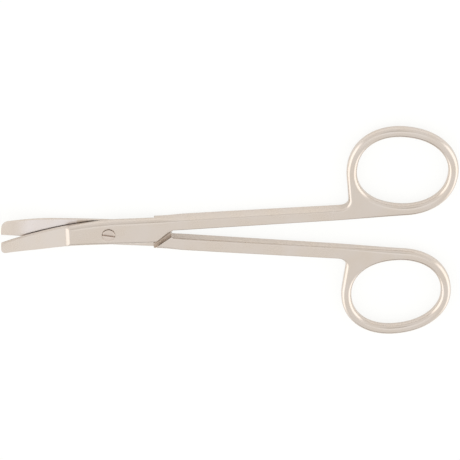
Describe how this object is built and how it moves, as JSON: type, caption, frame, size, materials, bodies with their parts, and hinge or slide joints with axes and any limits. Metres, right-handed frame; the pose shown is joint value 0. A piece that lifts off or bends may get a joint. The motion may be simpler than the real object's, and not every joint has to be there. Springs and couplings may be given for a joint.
{
  "type": "nasal scissors",
  "caption": "Slender scissors with short blunt-tipped blades curved on the flat, a slotted joint screw, long tapering shanks and oval finger rings.",
  "frame": {"origin": "on the joint's axis, in the plane of the rear half's outer face, where the screw's flat tail lies", "axes": "+X from the blades to the finger rings, +Y across toward the front half's ring, +Z along the joint's axis toward the screw's head and the side the blades curve to"},
  "size_m": [0.1316, 0.069, 0.007],
  "materials": {
    "satin_steel": "satin",
    "screw_steel": "satin"
  },
  "bodies": {
    "rear_half": {"rear_half": "satin_steel", "pivot_screw": "screw_steel"},
    "front_half": {"front_half": "satin_steel"}
  },
  "joints": [
    {"name": "pivot", "type": "hinge", "parent": "rear_half", "child": "front_half", "pos_m": [0, 0, 0], "axis": [0, 0, 1], "range_deg": [-4.5, 60]}
  ]
}
